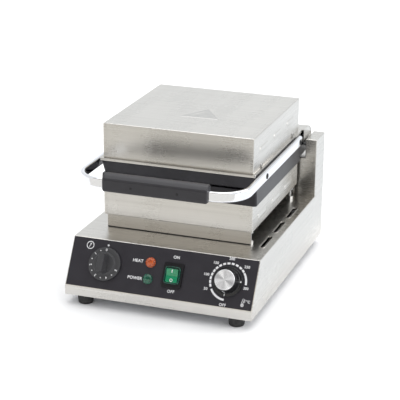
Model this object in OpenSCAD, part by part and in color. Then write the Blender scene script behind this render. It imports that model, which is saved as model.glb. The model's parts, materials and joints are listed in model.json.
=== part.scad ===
// Counter-top waffle maker: a sheet-steel base with a sloped control panel, a fixed lower
// plate on a raised housing, and a hinged lid that carries the upper plate and the handle.
// Millimetres. +Z up, front towards -Y. Origin on the table under the middle of the base.

/* [Base] */
// Width of the base
body_w = 290; // [288:1:300]
// Depth of the base, front lip to back
body_d = 380; // [376:1:390]
// Height of the base without its feet
base_h = 79; // [77:1:84]
// Height of the upright lip under the control panel
lip_h = 14.5; // [12:0.5:17]
// How far the control panel leans back over its height
slope_run = 38; // [35:1:42]
// Thickness of the base and column sheet
sheet_t = 1.5; // [1.2:0.1:2]
// Height of the rubber feet
foot_h = 15; // [13:1:20]

/* [Rear column] */
// Depth of the column that carries the hinge
column_d = 48; // [46:1:52]
// Height of its two ears above the deck
ear_h = 94.2; // [92:0.1:98]
// Height of the column between the ears
saddle_h = 63.5; // [60:0.5:64]
// Width between the ears
notch_w = 253; // [252:1:256]

/* [Cooker] */
// Width of the lower housing and of the lid cover
cooker_w = 234; // [230:1:236]
// Depth of the lower housing and of the lid cover
cooker_d = 236; // [232:1:238]
// Middle of the cooker, measured from the middle of the base
cooker_y = 14; // [12:1:16]
// Gap between the deck and the lower housing
riser_h = 21; // [20:1:26]
// Height of the lower housing
lower_housing_h = 41; // [40:1:46]
// Thickness of the folded covers
cover_t = 1.2; // [0.8:0.1:1.5]
// Height of the lid cover
cover_h = 53; // [50:1:60]

/* [Waffle plates] */
// Width of a plate at its wide face
plate_w = 244; // [240:1:246]
// Height of the lower plate
lower_plate_h = 23; // [22:1:26]
// Height of the upper plate
upper_plate_h = 20.8; // [20:0.1:24]
// How far the upper plate's sides lean in towards the parting line
upper_draft = 4; // [2:0.5:5]
// How far the lower plate's sides lean in towards the parting line
lower_draft = 1; // [0.5:0.5:3]
// Depth of the batter recess
recess_depth = 9; // [8:0.5:11]
// Height of the pegs in the recess
peg_h = 6; // [4:0.5:7]
// Distance between pegs
peg_pitch = 24; // [22:1:24]
// Width of a peg
peg_w = 14; // [10:1:16]
// Gap between the closed plates
parting_gap = 1.4; // [1:0.1:2]

/* [Handle] */
// Height of the flat bar
bar_h = 15; // [12:1:18]
// Thickness of the flat bar
bar_t = 6.5; // [5:0.5:8]
// Outside width of the handle
handle_w = 260; // [259:1:264]
// Outside radius of its bends
bend_r = 45; // [35:1:50]
// Length of the plastic grip
grip_len = 158; // [120:1:160]

/* [Controls] */
// Timer knob, across from the middle
timer_x = -88; // [-95:1:-80]
// Indicator lamps, across from the middle
lamp_x = -18; // [-24:1:-16]
// Rocker switch, across from the middle
switch_x = 19; // [17:1:22]
// Thermostat knob, across from the middle
thermostat_x = 103; // [100:1:106]
// Radius of the timer knob
timer_knob_r = 25; // [22:1:26]
// Radius of the thermostat knob's skirt
thermostat_knob_r = 22; // [20:1:24]

/* [Hidden] */
$fn = 64;

sides = [-1, 1];
half_w = body_w / 2;
front_y = -body_d / 2;
back_y = body_d / 2;
lip_z = foot_h + lip_h;
deck_z = foot_h + base_h;
panel_tilt = atan2(base_h - lip_h, slope_run);
panel_len = norm([slope_run, base_h - lip_h]);
panel_t = 0.8;
bottom_t = 1.2;

column_y = back_y - column_d;
ear_top_z = deck_z + ear_h;
saddle_z = deck_z + saddle_h;
back_cover_y = back_y - sheet_t;

housing_z = deck_z + riser_h;
plate_z = housing_z + lower_housing_h;
lower_face_z = plate_z + lower_plate_h;
upper_face_z = lower_face_z + parting_gap;
flange_z = upper_face_z + upper_plate_h;
flange_t = 3.8;
cover_z = flange_z + flange_t;
lid_top_z = cover_z + cover_h;

// Hinge axis, along X
hinge_y = back_y - 26;
hinge_z = lower_face_z - 2;
shaft_r = 6;
shaft_half = 139;
running_gap = 0.05;
bush_r = 8;
knuckle_r = 14.5;
arm_t = 16;
upper_arm_x = 94;
lower_arm_x = 112;
arm_screw_y = hinge_y - 14;

// Tubular elements and their clamp plates
element_r = 3.5;
element_gap = 0.2;
lower_pocket = 6;
upper_pocket = 4;
lower_element_z = plate_z + lower_pocket - element_gap - element_r;
upper_element_z = flange_z - upper_pocket + element_gap + element_r;
boss_h = 2 * element_r + 2 * element_gap;
lower_clamp_z = plate_z + lower_pocket - boss_h;
upper_clamp_z = flange_z - upper_pocket + boss_h;
boss_spots = [[-62.5, -54], [62.5, -54], [0, -64], [0, 26]];
clamp_t = 3;
clamp_screw_r = 3;

// Batter recess: four fields of four by four pegs
recess = [208, 204];
divider_w = 6;
field = [(recess.x - divider_w) / 2, (recess.y - divider_w) / 2];

stud_spots = [for (x = [-109, 109], y = [-91, 118]) [x, y]];
foot_spots = [for (x = [-118, 118], y = [-175, 165]) [x, y]];
bottom_screw_spots = [for (x = [-135, 135], y = [-165, 0, 175]) [x, y]];
column_screw_spots = [for (x = [-139, 139], z = [104, 178]) [x, z]];
bracket_bolt_spots = [for (x = [-137.5, 137.5], y = [153, 172]) [x, y]];
sleeve_spot = [0, 104];
gland_spot = [100, 48];

// Places on the control panel, measured up its slope
knob_s = 38;
heat_s = 50;
power_s = 25.5;
switch_s = 35.5;
spindle_r = 3;
rocker_tilt = 8;
rocker_pin_r = 1.5;
rocker_pin_x = 9.8;
switch_window = [18.4, 22.8];

// Sensing bulb in the lower housing, and the terminal block on the bottom plate
bulb_x = 62.5;
bulb_y = [0, 75];
block_corner = [-90, 110];
ways = 5;
way_pitch = 11;

// Handle bar
handle_z = 188.5;
handle_front_y = front_y - 4;
handle_back_y = 108;
handle_screw_y = [-78, 99];
handle_screw_z = 196;
pad_r = 7;
lid_screw_y = [-67, 96];
lid_screw_z = cover_z + 3.5;

// A box between two corners
module span(low, high) {
    translate(low) cube(high - low);
}

// A flat rectangle with round corners
module rounded_rect(w, h, r) {
    square([w - 2 * r, h], center = true);
    square([w, h - 2 * r], center = true);
    for (i = sides, j = sides) translate([i * (w / 2 - r), j * (h / 2 - r)]) circle(r);
}

// A flat slot with round ends, along X
module slot(length, width) {
    square([length - width, width], center = true);
    for (i = sides) translate([i * (length - width) / 2, 0]) circle(width / 2);
}

// Draws a (y, z) outline along X
module along_x(length) {
    rotate([90, 0, 90]) linear_extrude(length, center = true) children();
}

// Draws an (x, z) outline along Y, from one depth to another
module along_y(from_y, to_y) {
    translate([0, to_y, 0]) rotate([90, 0, 0]) linear_extrude(to_y - from_y) children();
}

// A round rod along X between two places
module rod_x(r, from_x, to_x) {
    translate([from_x, 0, 0]) rotate([0, 90, 0]) cylinder(r = r, h = to_x - from_x);
}

// A round rod along Y between two places
module rod_y(r, from_y, to_y) {
    translate([0, from_y, 0]) rotate([-90, 0, 0]) cylinder(r = r, h = to_y - from_y);
}

// A six-sided nut or head
module hex(r, h) {
    cylinder(r = r, h = h, $fn = 6);
}

// Puts a piece on the control panel: X across, Y up the slope, Z out of it
module on_panel(x, s) {
    translate([x, front_y + s * cos(panel_tilt), lip_z + s * sin(panel_tilt)])
        rotate([panel_tilt, 0, 0]) children();
}

// The same piece on the left and on the right
module both_sides() {
    for (i = sides) mirror([i < 0 ? 1 : 0, 0, 0]) children();
}

// Side view of the base, moved in by the sheet's thickness for its inside
module base_outline(inset) {
    shift = inset / cos(panel_tilt);
    floor_z = foot_h - (inset > 0 ? 1 : 0);
    polygon([
        [front_y + inset, floor_z],
        [front_y + inset, lip_z + inset * tan(panel_tilt) - shift],
        [front_y + (deck_z - inset - lip_z + shift) / tan(panel_tilt), deck_z - inset],
        [back_y - inset, deck_z - inset],
        [back_y - inset, floor_z]
    ]);
}

// Holes for the controls, through the sloped sheet and its overlay
module panel_holes() {
    depth = 10;
    stem_r = 6;
    switch_hole = [27, 29];
    for (x = [timer_x, thermostat_x])
        on_panel(x, knob_s) cylinder(r = stem_r, h = depth, center = true);
    for (s = [heat_s, power_s])
        on_panel(lamp_x, s) cylinder(r = stem_r, h = depth, center = true);
    on_panel(switch_x, switch_s) cube([switch_hole.x, switch_hole.y, depth], center = true);
}

module base_housing() {
    vent_y = [-79.5, -13, 55];
    vent_x = half_w - 14;
    through = 4;
    flange_w = 15;
    flange_low = foot_h + bottom_t;
    color("silver") difference() {
        union() {
            difference() {
                along_x(body_w) base_outline(0);
                along_x(body_w - 2 * sheet_t) base_outline(sheet_t);
            }
            both_sides() span([half_w - flange_w, front_y + 1, flange_low],
                              [half_w - 1, back_y - 1, flange_low + sheet_t]);
        }
        panel_holes();
        for (y = vent_y) translate([vent_x, y, deck_z - through]) rotate(90)
            linear_extrude(2 * through) slot(48, 7);
        for (p = stud_spots) translate([p.x, p.y, deck_z - through]) cylinder(r = 3.2, h = 2 * through);
        for (p = bracket_bolt_spots) translate([p.x, p.y, deck_z - through])
            cylinder(r = 2.5, h = 2 * through);
        for (p = bottom_screw_spots) translate([p.x, p.y, foot_h]) cylinder(r = 2, h = through);
        translate([sleeve_spot.x, sleeve_spot.y, deck_z - through]) cylinder(r = 8.5, h = 2 * through);
        span([-30, 152, deck_z - through], [30, 180, deck_z + through]);
        translate([gland_spot.x, 0, gland_spot.y]) rod_y(8, back_y - through, back_y + through);
    }
}

module bottom_plate() {
    margin = sheet_t + 0.2;
    color("gainsboro") difference() {
        span([-half_w + margin, front_y + margin, foot_h],
             [half_w - margin, back_y - margin, foot_h + bottom_t]);
        for (x = [-60 : 20 : 60], y = [-110, 40]) translate([x, y, foot_h - 1])
            rotate(90) linear_extrude(bottom_t + 2) slot(60, 6);
        for (p = bottom_screw_spots) translate([p.x, p.y, foot_h - 1]) cylinder(r = 2.2, h = bottom_t + 2);
        for (p = foot_spots) translate([p.x, p.y, foot_h - 1]) cylinder(r = 2.5, h = bottom_t + 2);
    }
}

module bottom_screws() {
    head_h = 2.2;
    color("lightgray") for (p = bottom_screw_spots) translate([p.x, p.y, 0]) {
        translate([0, 0, foot_h - head_h]) cylinder(r = 3.8, h = head_h);
        translate([0, 0, foot_h]) cylinder(r = 2, h = 7);
    }
}

module rubber_feet() {
    recess_r = 5.5;
    recess_h = 8;
    color("black") for (p = foot_spots) translate([p.x, p.y, 0]) rotate_extrude() polygon([
        [recess_r, 0], [10.5, 0], [11, 0.8], [12.5, foot_h],
        [2.5, foot_h], [2.5, recess_h], [recess_r, recess_h]
    ]);
}

module foot_screws() {
    head_z = 4.8;
    seat_z = 8;
    nut_z = foot_h + bottom_t;
    color("lightgray") for (p = foot_spots) translate([p.x, p.y, 0]) {
        translate([0, 0, head_z]) cylinder(r = 4.6, h = seat_z - head_z);
        translate([0, 0, seat_z]) cylinder(r = 2.5, h = nut_z + 6 - seat_z);
        translate([0, 0, nut_z]) hex(4.6, 4);
    }
}

module control_panel() {
    border = 1;
    color("dimgray") difference() {
        on_panel(0, border) translate([-half_w + sheet_t, 0, 0])
            cube([body_w - 2 * sheet_t, panel_len - 2 * border, panel_t]);
        panel_holes();
    }
}

// Front view of the column: two ears with a saddle between them
module column_outline(inset) {
    low = deck_z - (inset > 0 ? 1 : 0);
    outer = half_w - inset;
    inner = notch_w / 2 + inset;
    polygon([
        [-outer, low], [outer, low], [outer, ear_top_z - inset], [inner, ear_top_z - inset],
        [inner, saddle_z - inset], [-inner, saddle_z - inset], [-inner, ear_top_z - inset],
        [-outer, ear_top_z - inset]
    ]);
}

module rear_column() {
    tab = 9;
    tab_depth = 10;
    color("silver") difference() {
        union() {
            difference() {
                along_y(column_y, back_cover_y) column_outline(0);
                along_y(column_y + sheet_t, back_y) column_outline(sheet_t);
            }
            for (p = column_screw_spots) translate([p.x, 0, p.y])
                span([-tab / 2, back_cover_y - tab_depth, -tab / 2], [tab / 2, back_cover_y, tab / 2]);
        }
        for (p = column_screw_spots) translate([p.x, 0, p.y])
            rod_y(1.6, back_cover_y - tab_depth - 1, back_y);
        both_sides() translate([0, hinge_y, hinge_z])
            rod_x(bush_r, notch_w / 2 - 1, notch_w / 2 + sheet_t + 1);
    }
}

module column_back_cover() {
    color("gainsboro") difference() {
        along_y(back_cover_y, back_y) column_outline(0);
        for (p = column_screw_spots) translate([p.x, 0, p.y]) rod_y(1.8, back_cover_y - 1, back_y + 1);
    }
}

module column_screws() {
    color("lightgray") for (p = column_screw_spots) translate([p.x, 0, p.y]) {
        rod_y(1.6, back_cover_y - 8, back_y);
        rod_y(3.4, back_y, back_y + 2);
    }
}

module hinge_brackets() {
    plate_in = notch_w / 2 + sheet_t + 0.2;
    plate_out = plate_in + 4;
    foot_out = plate_out + 9.8;
    back = 181;
    front = 147;
    color("slategray") both_sides() difference() {
        union() {
            span([plate_in, front, deck_z], [plate_out, back, ear_top_z - 5]);
            span([plate_in, front, deck_z], [foot_out, back, deck_z + 4]);
        }
        translate([0, hinge_y, hinge_z]) rod_x(shaft_r, plate_in - 1, plate_out + 1);
        for (p = bracket_bolt_spots) translate([abs(p.x), p.y, deck_z - 1]) cylinder(r = 2.5, h = 6);
    }
}

module bracket_bolts() {
    nut_h = 4;
    under_z = deck_z - sheet_t;
    color("lightgray") for (p = bracket_bolt_spots) translate([p.x, p.y, 0]) {
        translate([0, 0, under_z - nut_h - 2]) cylinder(r = 2.5, h = nut_h + 2 + sheet_t + 4);
        translate([0, 0, under_z - nut_h]) hex(4.6, nut_h);
        translate([0, 0, deck_z + 4]) hex(4.4, 3.5);
    }
}

module hinge_shaft() {
    bore_r = 4;
    ring_x = 133;
    ring_w = 1.2;
    groove_r = 5.2;
    color("lightsteelblue") translate([0, hinge_y, hinge_z]) difference() {
        rod_x(shaft_r, -shaft_half, shaft_half);
        rod_x(bore_r, -shaft_half - 1, shaft_half + 1);
        translate([0, 0, -shaft_r - 1]) cylinder(r = 3, h = shaft_r + 1);
        both_sides() difference() {
            rod_x(shaft_r + 1, ring_x, ring_x + ring_w);
            rod_x(groove_r, ring_x - 1, ring_x + ring_w + 1);
        }
    }
}

module shaft_rings() {
    ring_x = 133;
    ring_w = 1.2;
    color("dimgray") both_sides() translate([0, hinge_y, hinge_z]) difference() {
        rod_x(9, ring_x, ring_x + ring_w);
        rod_x(5.2, ring_x - 1, ring_x + ring_w + 1);
    }
}

// A channel that lifts the cooker off the deck, its web facing outwards
module riser(web_y, lip_dir) {
    web_half = 113.4;
    lip_half = 100;
    lip_len = 14;
    web_back = web_y + lip_dir * sheet_t;
    lip_back = web_y + lip_dir * lip_len;
    span([-web_half, min(web_y, web_back), deck_z], [web_half, max(web_y, web_back), housing_z]);
    for (z = [deck_z, housing_z - sheet_t])
        span([-lip_half, min(web_y, lip_back), z], [lip_half, max(web_y, lip_back), z + sheet_t]);
}

module front_riser() {
    color("silver") riser(cooker_y - 112.6, 1);
}

module rear_riser() {
    color("silver") riser(cooker_y + 116, -1);
}

module support_studs() {
    reach = 8;
    color("lightgray") for (p = stud_spots) translate([p.x, p.y, deck_z - reach])
        cylinder(r = 3, h = riser_h + 2 * reach);
}

module support_nuts() {
    nut_h = 5;
    levels = [deck_z - sheet_t - nut_h, deck_z, housing_z - nut_h, housing_z + cover_t];
    color("gray") for (p = stud_spots, z = levels) translate([p.x, p.y, z]) difference() {
        hex(5.5, nut_h);
        translate([0, 0, -1]) cylinder(r = 3, h = nut_h + 2);
    }
}

// Elongated louvres along both sides of a cover
module side_louvres(z, centres, length) {
    height = 6;
    for (y = centres) translate([0, y, z]) along_x(cooker_w + 4) slot(length, height);
}

module lower_housing() {
    low = [-cooker_w / 2, cooker_y - cooker_d / 2, housing_z];
    high = [cooker_w / 2, cooker_y + cooker_d / 2, plate_z];
    wall = [cover_t, cover_t, cover_t];
    color("silver") difference() {
        span(low, high);
        span(low + wall, [high.x - cover_t, high.y - cover_t, plate_z + 1]);
        side_louvres(housing_z + 16, [-58, 14, 82], 40);
        for (p = stud_spots) translate([p.x, p.y, housing_z - 1]) cylinder(r = 3.2, h = 4);
        translate([sleeve_spot.x, sleeve_spot.y, housing_z - 1]) cylinder(r = 8.5, h = 4);
    }
}

// A cast block whose sides lean in towards the parting line, wide face on Z = 0
module plate_block(h, draft) {
    narrow = [(plate_w - 2 * draft) / plate_w, (cooker_d - 2 * draft) / cooker_d];
    linear_extrude(h, scale = narrow) rounded_rect(plate_w, cooker_d, 5, $fn = 32);
}

// The batter recess below a face at the given height: pegs and dividers stay standing
module waffle_recess(face) {
    floor_z = face - recess_depth;
    divider_drop = 0.5;
    rows = [-1.5, -0.5, 0.5, 1.5];
    difference() {
        translate([-recess.x / 2, -recess.y / 2, floor_z]) cube([recess.x, recess.y, recess_depth + 1]);
        for (i = sides, j = sides)
            translate([i * (field.x + divider_w) / 2, j * (field.y + divider_w) / 2, floor_z + peg_h / 2])
                for (a = rows, b = rows) translate([a * peg_pitch, b * peg_pitch, 0])
                    cube([peg_w, peg_w, peg_h], center = true);
        for (size = [[divider_w, recess.y + 2], [recess.x + 2, divider_w]])
            translate([-size.x / 2, -size.y / 2, floor_z])
                cube([size.x, size.y, recess_depth - divider_drop]);
    }
}

// The plate with its recess, a pocket in its back and the bosses that its clamp screws turn into
module waffle_plate(h, draft, pocket) {
    thread_depth = 5;
    pocket_size = [216, 224];
    difference() {
        union() {
            difference() {
                plate_block(h, draft);
                translate([-pocket_size.x / 2, -pocket_size.y / 2, -1])
                    cube([pocket_size.x, pocket_size.y, pocket + 1]);
            }
            for (p = boss_spots) translate([p.x, p.y, pocket - boss_h]) cylinder(r = 7, h = boss_h + 1);
        }
        waffle_recess(h);
        for (p = boss_spots) translate([p.x, p.y, pocket - boss_h - 1])
            cylinder(r = clamp_screw_r, h = boss_h + 1 + thread_depth);
    }
}

module lower_plate() {
    color("darkslategray") translate([0, cooker_y, plate_z])
        waffle_plate(lower_plate_h, lower_draft, lower_pocket);
}

// How far back the sloped rear face of each plate stands at a height
function lower_back(z) = cooker_y + cooker_d / 2 - lower_draft * (z - plate_z) / lower_plate_h;
function upper_back(z) = cooker_y + cooker_d / 2 - upper_draft * (flange_z - z) / upper_plate_h;

// Cast arms from the lower plate to the shaft, which stay below the parting line
module lower_hinge_arms() {
    low = hinge_z - 16.5;
    high = hinge_z + 1.5;
    color("darkslategray") both_sides() difference() {
        translate([lower_arm_x, 0, 0]) along_x(arm_t) {
            translate([hinge_y, hinge_z]) circle(knuckle_r);
            polygon([
                [lower_back(low), low], [hinge_y - 8, low], [hinge_y, hinge_z - knuckle_r],
                [hinge_y, hinge_z], [hinge_y - knuckle_r, high], [lower_back(high), high]
            ]);
        }
        translate([0, hinge_y, hinge_z]) rod_x(shaft_r, notch_w / 4, notch_w / 2);
    }
}

// A tubular heater bent into an M
module element() {
    outer_x = 85;
    inner_x = 40;
    front = -84;
    back = 36;
    ends = 108;
    both_sides() {
        translate([outer_x, 0, 0]) rod_y(element_r, front, ends);
        translate([inner_x, 0, 0]) rod_y(element_r, front, back);
        translate([(outer_x + inner_x) / 2, front, 0]) rotate(180)
            rotate_extrude(angle = 180) translate([(outer_x - inner_x) / 2, 0]) circle(element_r);
    }
    translate([0, back, 0]) rotate_extrude(angle = 180) translate([inner_x, 0]) circle(element_r);
}

module lower_element() {
    color("dimgray") translate([0, cooker_y, lower_element_z]) element();
}

module clamp_plate() {
    low = [-95, -98];
    high = [95, 84];
    difference() {
        span([low.x, low.y, 0], [high.x, high.y, clamp_t]);
        for (p = boss_spots) translate([p.x, p.y, -1]) cylinder(r = clamp_screw_r + 0.3, h = clamp_t + 2);
    }
}

module lower_clamp_plate() {
    color("slategray") translate([0, cooker_y, lower_clamp_z - clamp_t]) clamp_plate();
}

// Hexagon screws that press a clamp plate to its element, heads on Z = 0
module clamp_screws() {
    head_h = 4;
    for (p = boss_spots) translate([p.x, p.y, 0]) {
        translate([0, 0, -head_h]) hex(5.5, head_h);
        cylinder(r = clamp_screw_r, h = clamp_t + boss_h + 4);
    }
}

module lower_clamp_screws() {
    color("lightgray") translate([0, cooker_y, lower_clamp_z - clamp_t]) clamp_screws();
}

module lower_insulation() {
    mat_t = 14;
    top = lower_clamp_z - clamp_t - 5;
    color("ivory") span([-100, -94, top - mat_t], [100, 94, top]);
}

module wire_sleeve() {
    color("lightgray") translate([sleeve_spot.x, sleeve_spot.y, deck_z - 8]) difference() {
        cylinder(r = 8.5, h = riser_h + 17);
        translate([0, 0, -1]) cylinder(r = 7, h = riser_h + 19);
    }
}

module thermostat_body() {
    size = [38, 46, 28];
    color("whitesmoke") on_panel(thermostat_x, knob_s) difference() {
        union() {
            translate([0, 0, -sheet_t - size.z / 2]) cube(size, center = true);
            translate([0, 0, -sheet_t]) cylinder(r = 5, h = sheet_t);
        }
        translate([0, 0, -sheet_t - 20]) cylinder(r = spindle_r + running_gap, h = 30);
    }
}

module thermostat_bulb() {
    color("peru") translate([bulb_x, 0, lower_element_z]) rod_y(3, bulb_y[0], bulb_y[1]);
}

// A thin tube through a list of points, with a ball at each bend
module tube(points, r) {
    for (i = [0 : len(points) - 2]) {
        run = points[i + 1] - points[i];
        translate(points[i]) rotate([0, acos(run.z / norm(run)), atan2(run.y, run.x)])
            cylinder(r = r, h = norm(run), $fn = 24);
    }
    for (i = [1 : len(points) - 2]) translate(points[i]) sphere(r, $fn = 24);
}

module thermostat_capillary() {
    color("peru") tube([
        [bulb_x, bulb_y[1], lower_element_z], [bulb_x, 102, lower_element_z], [4, 104, lower_element_z - 6],
        [4, 104, 78], [60, 40, 60], [103, -100, 50], [103, -144, 48]
    ], 1);
}

module timer_body() {
    size = [46, 46, 32];
    color("whitesmoke") on_panel(timer_x, knob_s) difference() {
        union() {
            translate([0, 0, -sheet_t - size.z / 2]) cube(size, center = true);
            translate([0, 0, -sheet_t]) cylinder(r = 5, h = sheet_t);
        }
        translate([0, 0, -sheet_t - 20]) cylinder(r = spindle_r + running_gap, h = 30);
    }
}

module switch_body() {
    bezel = [30.5, 37];
    bezel_t = 2.4;
    barrel = [26.6, 28.6, 25];
    well = 7;
    color("black") on_panel(switch_x, switch_s) {
        difference() {
            union() {
                translate([0, 0, panel_t]) linear_extrude(bezel_t) rounded_rect(bezel.x, bezel.y, 3);
                translate([0, 0, panel_t - barrel.z / 2]) cube(barrel, center = true);
            }
            translate([-switch_window.x / 2, -switch_window.y / 2, -well])
                cube([switch_window.x, switch_window.y, 20]);
            rod_x(rocker_pin_r + running_gap, -rocker_pin_x - 0.2, rocker_pin_x + 0.2);
        }
        for (x = [-7, 7], y = [-8, 8]) translate([x - 3, y - 0.4, panel_t - barrel.z - 8])
            cube([6, 0.8, 8.5]);
    }
}

module switch_frame() {
    low = panel_t + 2.4;
    color("seagreen") on_panel(switch_x, switch_s) translate([0, 0, low]) linear_extrude(2.6) difference() {
        rounded_rect(24, 26.2, 4);
        square(switch_window, center = true);
    }
}

// Rocker, tipped so that its lower end is in at rest, with a pivot pin on each side
module switch_rocker() {
    width = 17.6;
    half = 10;
    color("mediumseagreen") on_panel(switch_x, switch_s) rotate([rocker_tilt, 0, 0]) {
        along_x(width) polygon([
            [-half, 1], [-6, -4.5], [6, -4.5], [half, 1], [half, 7], [0, 5.6], [-half, 7]
        ]);
        rod_x(rocker_pin_r, -rocker_pin_x, rocker_pin_x);
    }
}

module lamp_holders() {
    nut_z = -sheet_t - 3;
    color("whitesmoke") for (s = [heat_s, power_s]) on_panel(lamp_x, s) {
        translate([0, 0, -24]) cylinder(r = 6, h = 24 + panel_t);
        translate([0, 0, nut_z]) hex(8.5, 3);
    }
}

module lamp_lens(s) {
    on_panel(lamp_x, s) translate([0, 0, panel_t]) rotate_extrude() {
        square([7.6, 1.4]);
        intersection() {
            translate([0, -4.9]) circle(9.8);
            square([7, 6]);
        }
    }
}

module heat_lamp_lens() {
    color("darkorange") lamp_lens(heat_s);
}

module power_lamp_lens() {
    color("green") lamp_lens(power_s);
}

module terminal_block() {
    size = [way_pitch * ways, 22, 16];
    color("white") translate([block_corner.x, block_corner.y, foot_h + bottom_t]) difference() {
        cube(size);
        for (i = [0 : ways - 1]) translate([way_pitch * (i + 0.5), 0, 6]) rod_y(2.4, -1, size.y + 1);
        for (i = [0 : ways - 1], y = [6, 16]) translate([way_pitch * (i + 0.5), y, 6])
            cylinder(r = 1.8, h = 12);
    }
}

module terminal_screws() {
    color("goldenrod") translate([block_corner.x, block_corner.y, foot_h + bottom_t])
        for (i = [0 : ways - 1], y = [6, 16]) translate([way_pitch * (i + 0.5), y, 8.6])
            cylinder(r = 1.8, h = 6);
}

module earth_stud() {
    color("goldenrod") translate([40, 150, foot_h + bottom_t]) {
        cylinder(r = 2.5, h = 16);
        hex(4.6, 4);
        translate([0, 0, 6]) hex(4.6, 4);
    }
}

module cable_gland() {
    color("black") translate([gland_spot.x, back_y, gland_spot.y]) rotate([-90, 0, 0]) difference() {
        union() {
            translate([0, 0, -12]) cylinder(r = 8, h = 12);
            hex(12, 4);
            translate([0, 0, 4]) rotate_extrude() polygon([[0, 0], [10, 0], [10, 3], [7.5, 6], [0, 6]]);
        }
        translate([0, 0, -13]) cylinder(r = 4, h = 30);
    }
}

module gland_nut() {
    nut_h = 5;
    color("black") translate([gland_spot.x, back_y - sheet_t - nut_h, gland_spot.y])
        rotate([-90, 0, 0]) difference() {
        hex(12, nut_h);
        translate([0, 0, -1]) cylinder(r = 8, h = nut_h + 2);
    }
}

module lid_cover() {
    low = [-cooker_w / 2, cooker_y - cooker_d / 2, cover_z];
    high = [cooker_w / 2, cooker_y + cooker_d / 2, lid_top_z];
    color("silver") difference() {
        span(low, high);
        span([low.x + cover_t, low.y + cover_t, cover_z - 1],
             [high.x - cover_t, high.y - cover_t, lid_top_z - cover_t]);
        side_louvres(cover_z + 28, [-56, 13.5, 83], 36);
        for (y = lid_screw_y) translate([0, y, lid_screw_z]) rod_x(1.7, -half_w, half_w);
    }
}

// Frame between the upper plate and its cover, with an upstand that the cover is screwed to
module lid_flange() {
    overhang = 4.5;
    ledge = 7;
    upstand_h = 9;
    outer = [cooker_w + 2 * overhang, cooker_d + 2 * overhang];
    upper = [cooker_w - 2 * cover_t, cooker_d - 2 * cover_t];
    opening = [cooker_w - 2 * ledge, cooker_d - 2 * ledge];
    color("silver") translate([0, cooker_y, flange_z]) difference() {
        union() {
            linear_extrude(flange_t) difference() {
                rounded_rect(outer.x, outer.y, 3);
                square(opening, center = true);
            }
            translate([0, 0, flange_t - 1]) linear_extrude(upstand_h + 1) difference() {
                square(upper, center = true);
                square(upper - [2.4, 2.4], center = true);
            }
        }
        for (y = lid_screw_y) translate([0, y - cooker_y, lid_screw_z - flange_z])
            rod_x(1.6, -half_w, half_w);
    }
}

module lid_screws() {
    face = cooker_w / 2;
    color("lightgray") both_sides() {
        for (y = lid_screw_y) translate([0, y, lid_screw_z]) {
            rod_x(1.6, face - 6, face);
            rod_x(3.2, face, face + 1.4);
        }
        translate([upper_arm_x, arm_screw_y, flange_z]) {
            translate([0, 0, -12]) cylinder(r = 2, h = 12 + flange_t);
            translate([0, 0, flange_t]) cylinder(r = 4, h = 2);
        }
    }
}

module upper_plate() {
    color("darkslategray") difference() {
        union() {
            translate([0, cooker_y, flange_z]) mirror([0, 0, 1])
                waffle_plate(upper_plate_h, upper_draft, upper_pocket);
            both_sides() for (y = handle_screw_y) translate([0, y, handle_screw_z])
                rod_x(pad_r - 2, plate_w / 2 - 8, handle_w / 2 - bar_t);
        }
        both_sides() for (y = handle_screw_y) translate([0, y, handle_screw_z])
            rod_x(2.5, plate_w / 2 - 12, handle_w / 2);
    }
}

// Cast arms from the upper plate to the shaft, which stay above the parting line
module upper_hinge_arms() {
    low = hinge_z + 5;
    high = hinge_z + 21;
    color("darkslategray") both_sides() difference() {
        translate([upper_arm_x, 0, 0]) along_x(arm_t) {
            translate([hinge_y, hinge_z]) circle(knuckle_r);
            polygon([
                [upper_back(low), low], [upper_back(high), high], [hinge_y - 8, hinge_z + 20],
                [hinge_y, hinge_z + knuckle_r], [hinge_y, hinge_z], [hinge_y - knuckle_r, hinge_z]
            ]);
        }
        translate([0, hinge_y, hinge_z]) rod_x(bush_r, upper_arm_x - arm_t, upper_arm_x + arm_t);
        translate([upper_arm_x, arm_screw_y, hinge_z + 10]) cylinder(r = 2, h = 12);
    }
}

module upper_element() {
    color("dimgray") translate([0, cooker_y, upper_element_z]) element();
}

module upper_clamp_plate() {
    color("slategray") translate([0, cooker_y, upper_clamp_z]) clamp_plate();
}

module upper_clamp_screws() {
    color("lightgray") translate([0, cooker_y, upper_clamp_z + clamp_t]) mirror([0, 0, 1]) clamp_screws();
}

module upper_insulation() {
    mat_t = 18;
    bottom = upper_clamp_z + clamp_t + 5;
    color("ivory") span([-105, -92, bottom], [105, 120, bottom + mat_t]);
}

// Curved sheet over the hinge that tips back with the lid
module hinge_hood() {
    arc = [-3, 8];
    outer_r = 20;
    length = 250;
    front = cooker_y + cooker_d / 2 + 4.6 - hinge_y;
    color("silver") difference() {
        union() {
            translate([0, hinge_y, hinge_z]) along_x(length) {
                translate([front, arc[1] + outer_r - cover_t]) square([arc[0] - front, cover_t]);
                difference() {
                    translate(arc) circle(outer_r);
                    translate(arc) circle(outer_r - cover_t);
                    translate([arc[0] - 40, -40]) square([40, 80]);
                    translate([-40, -40]) square([80, 40 + arc[1] - 4]);
                }
            }
            both_sides() translate([upper_arm_x, arm_screw_y, hinge_z + 20.3]) cylinder(r = 5, h = 7);
        }
        both_sides() translate([upper_arm_x, arm_screw_y, hinge_z + 10]) cylinder(r = 2.1, h = 30);
    }
}

module hinge_bushes() {
    color("darkgoldenrod") both_sides() translate([0, hinge_y, hinge_z]) difference() {
        rod_x(bush_r, upper_arm_x - arm_t / 2, upper_arm_x + arm_t / 2);
        rod_x(shaft_r + running_gap, upper_arm_x - arm_t, upper_arm_x + arm_t);
    }
}

// Plan of a U with round bends, open at the back
module u_plan(half, r, front, back) {
    translate([-half, front + r]) square([2 * half, back - front - r]);
    translate([r - half, front]) square([2 * (half - r), r]);
    for (i = sides) translate([i * (half - r), front + r]) circle(r);
}

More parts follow.
